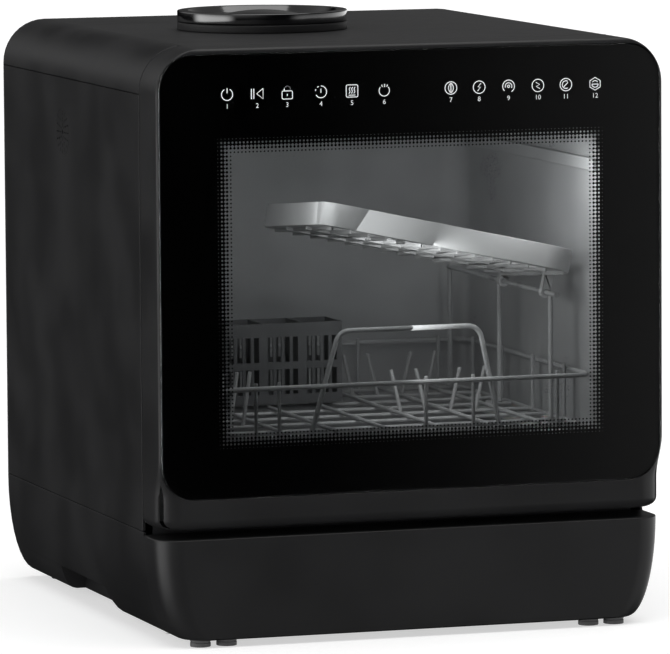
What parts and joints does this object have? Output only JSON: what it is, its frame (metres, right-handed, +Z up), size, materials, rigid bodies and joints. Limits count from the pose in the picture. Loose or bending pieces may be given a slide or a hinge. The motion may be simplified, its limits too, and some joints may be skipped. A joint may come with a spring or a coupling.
{
  "type": "countertop dishwasher",
  "caption": "Black countertop dishwasher with a drop-front glass door, a wire rack with a tilted cup shelf, and a round filler cap on the roof.",
  "frame": {"origin": "middle of the footprint, on the surface that the feet stand on", "axes": "+Z up, the door faces -Y, +X to the viewer's right when facing the door"},
  "size_m": [0.41, 0.43, 0.4744],
  "materials": {
    "casing_black": "satin black moulded plastic",
    "trim_black": "semi-gloss black plastic",
    "black_glass": "tempered glass with a black print behind it and a clear window",
    "clear_glass": "clear tempered glass",
    "tub_grey": "light grey moulded tub",
    "wire_grey": "coated steel wire, satin grey",
    "shelf_grey": "light grey plastic",
    "basket_grey": "dark grey plastic",
    "rubber": "dark rubber",
    "steel": "bright steel",
    "inner_black": "dark engineering plastic",
    "natural_plastic": "uncoloured moulded plastic",
    "board_green": "circuit board",
    "lamp_white": "white lamp lens"
  },
  "bodies": {
    "cabinet": {"base_shell": "casing_black", "left_side_panel": "casing_black", "right_side_panel": "casing_black", "top_cover": "casing_black", "rear_panel": "casing_black", "rear_screws": "steel", "front_fascia": "casing_black", "front_feet": "rubber", "rear_feet": "rubber", "side_vent": "casing_black", "filler_collar": "casing_black", "filler_strainer": "natural_plastic", "filler_duct": "natural_plastic", "water_tank": "natural_plastic", "tub_shell": "tub_grey", "tub_guides": "tub_grey", "tub_seal": "rubber", "tub_lamp": "lamp_white", "hinge_crossbar": "inner_black", "hinge_brackets": "steel", "sump": "inner_black", "filter_plate": "tub_grey", "filter_cup": "basket_grey", "heating_element": "steel", "spray_hub": "basket_grey", "wash_pump_housing": "inner_black", "wash_pump_motor": "inner_black", "drain_pump_housing": "inner_black", "drain_hose": "rubber", "drain_spigot": "natural_plastic", "inlet_valve": "natural_plastic", "fill_hose": "rubber", "cord_gland": "inner_black", "main_board": "board_green", "blower_housing": "inner_black", "latch_housing": "inner_black", "door_switch": "inner_black"},
    "door": {"door_frame": "casing_black", "door_glass": "black_glass", "inner_glass": "clear_glass", "door_liner": "tub_grey", "touch_board": "board_green", "hinge_cheeks": "steel", "hinge_pins": "steel", "latch_striker": "steel"},
    "rack": {"rack_rails": "wire_grey", "rack_floor": "wire_grey", "rack_tines": "wire_grey", "rack_handle": "wire_grey", "rack_glides": "natural_plastic", "shelf_posts": "wire_grey"},
    "spray_arm": {"spray_arm": "basket_grey"},
    "wash_rotor": {"wash_impeller": "natural_plastic"},
    "drain_rotor": {"drain_impeller": "natural_plastic"},
    "blower_wheel": {"blower_rotor": "inner_black"},
    "latch": {"latch_lever": "natural_plastic"},
    "float": {"overflow_float": "natural_plastic"},
    "cap": {"filler_cap": "trim_black"},
    "shelf": {"cup_shelf": "shelf_grey"},
    "cutlery": {"cutlery_basket": "basket_grey"}
  },
  "joints": [
    {"name": "door_hinge", "type": "hinge", "parent": "cabinet", "child": "door", "pos_m": [0.154, -0.201, 0.1], "axis": [1, 0, 0], "range_deg": [0, 90]},
    {"name": "rack_slide", "type": "slide", "parent": "cabinet", "child": "rack", "axis": [0, -1, 0], "range_m": [0, 0.11]},
    {"name": "shelf_fold", "type": "hinge", "parent": "rack", "child": "shelf", "pos_m": [0.148, 0, 0.252], "axis": [0, 1, 0], "range_deg": [0, 13]},
    {"name": "cutlery_lift", "type": "slide", "parent": "rack", "child": "cutlery", "axis": [0, 0, 1], "range_m": [0, 0.06]},
    {"name": "cap_lift", "type": "slide", "parent": "cabinet", "child": "cap", "axis": [0, 0, 1], "range_m": [0, 0.06]},
    {"name": "spray_arm_spin", "type": "hinge", "parent": "cabinet", "child": "spray_arm", "pos_m": [0, -0.0025, 0.12], "axis": [0, 0, 1], "continuous": true},
    {"name": "wash_pump_spin", "type": "hinge", "parent": "cabinet", "child": "wash_rotor", "pos_m": [0, -0.0025, 0.07], "axis": [1, 0, 0], "continuous": true},
    {"name": "drain_pump_spin", "type": "hinge", "parent": "cabinet", "child": "drain_rotor", "pos_m": [0.131, -0.0025, 0.06], "axis": [1, 0, 0], "continuous": true},
    {"name": "blower_spin", "type": "hinge", "parent": "cabinet", "child": "blower_wheel", "pos_m": [-0.19, 0.042, 0.379], "axis": [1, 0, 0], "continuous": true},
    {"name": "latch_pivot", "type": "hinge", "parent": "cabinet", "child": "latch", "pos_m": [0, -0.134, 0.45], "axis": [-1, 0, 0], "range_deg": [0, 8], "stiffness_Nm_per_rad": 0.02, "springref_deg": -5.73},
    {"name": "float_rise", "type": "slide", "parent": "cabinet", "child": "float", "axis": [0, 0, 1], "range_m": [0, 0.008]}
  ],
  "couplings": [
    {"joint": "rack_slide", "follows": "door_hinge", "m_per_rad": 0.07}
  ]
}
